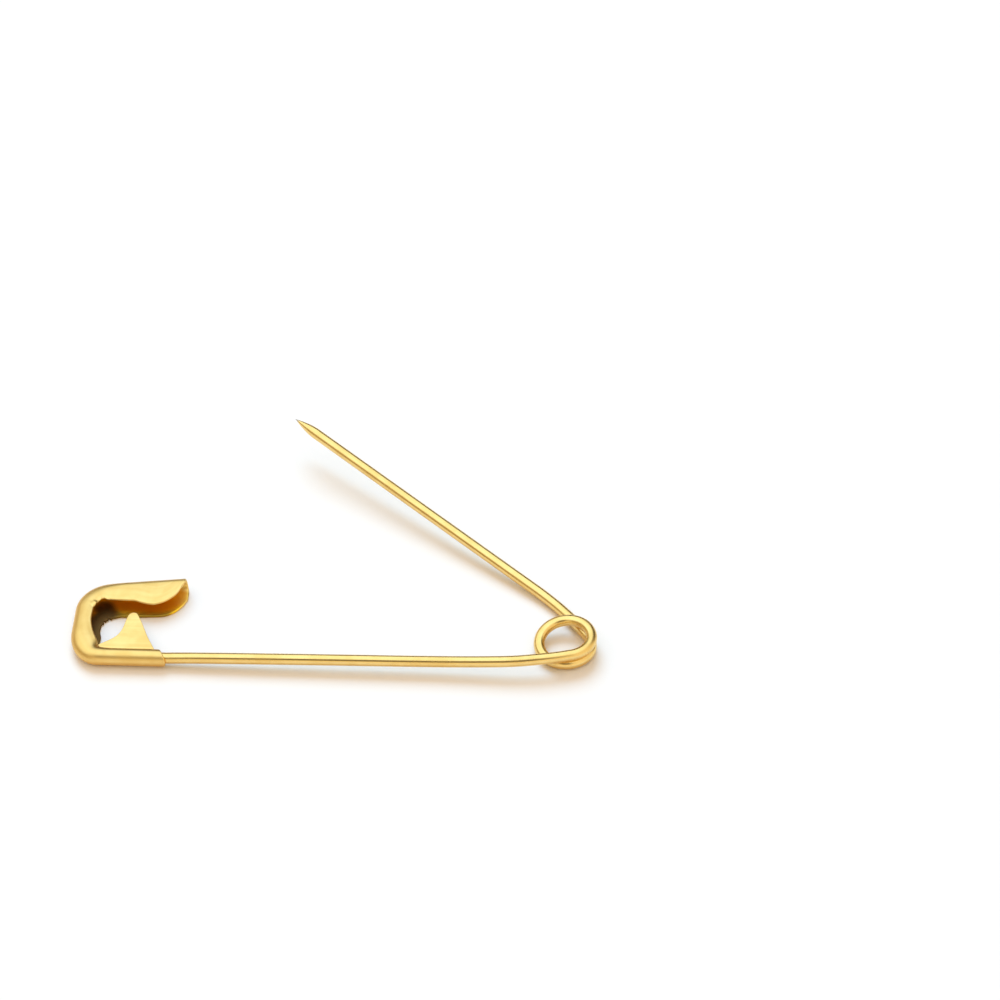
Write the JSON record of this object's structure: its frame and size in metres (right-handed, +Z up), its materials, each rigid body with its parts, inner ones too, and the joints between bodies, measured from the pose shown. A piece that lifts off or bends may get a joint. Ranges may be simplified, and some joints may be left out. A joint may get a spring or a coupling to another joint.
{
  "type": "safety pin",
  "caption": "Open gold-coloured safety pin: a coiled spring wire with a fixed arm and a swinging needle, and a folded sheet cap with a guard tongue.",
  "frame": {"origin": "on the flat back of the cap, under the middle of the leg that catches the needle", "axes": "+X from the cap to the coil along the fixed arm, +Y towards the open needle, +Z up from the surface that the pin lies on"},
  "size_m": [0.054, 0.0349, 0.0043],
  "materials": {
    "cap_gold": "satin gold, lightly brushed along the sheet",
    "wire_gold": "satin gold plate on drawn wire"
  },
  "bodies": {
    "cap_and_coil": {"cap": "cap_gold", "guard_tongue": "cap_gold", "fixed_arm": "wire_gold", "spring_coil": "wire_gold"},
    "coil_leg": {"spring_leg": "wire_gold"},
    "needle": {"needle_arm": "wire_gold"}
  },
  "joints": [
    {"name": "arm_swing", "type": "hinge", "parent": "cap_and_coil", "child": "coil_leg", "pos_m": [0.04316, -0.00455, 0.00057], "axis": [0, 0, 1], "range_deg": [-15, 42], "stiffness_Nm_per_rad": 0.24, "deforming": ["spring_coil"]},
    {"name": "needle_flex", "type": "hinge", "parent": "coil_leg", "child": "needle", "pos_m": [0.04339, -0.00034, 0.00057], "axis": [-0.6455, -0.7638, 0], "range_deg": [-3, 4.4], "stiffness_Nm_per_rad": 0.5}
  ]
}
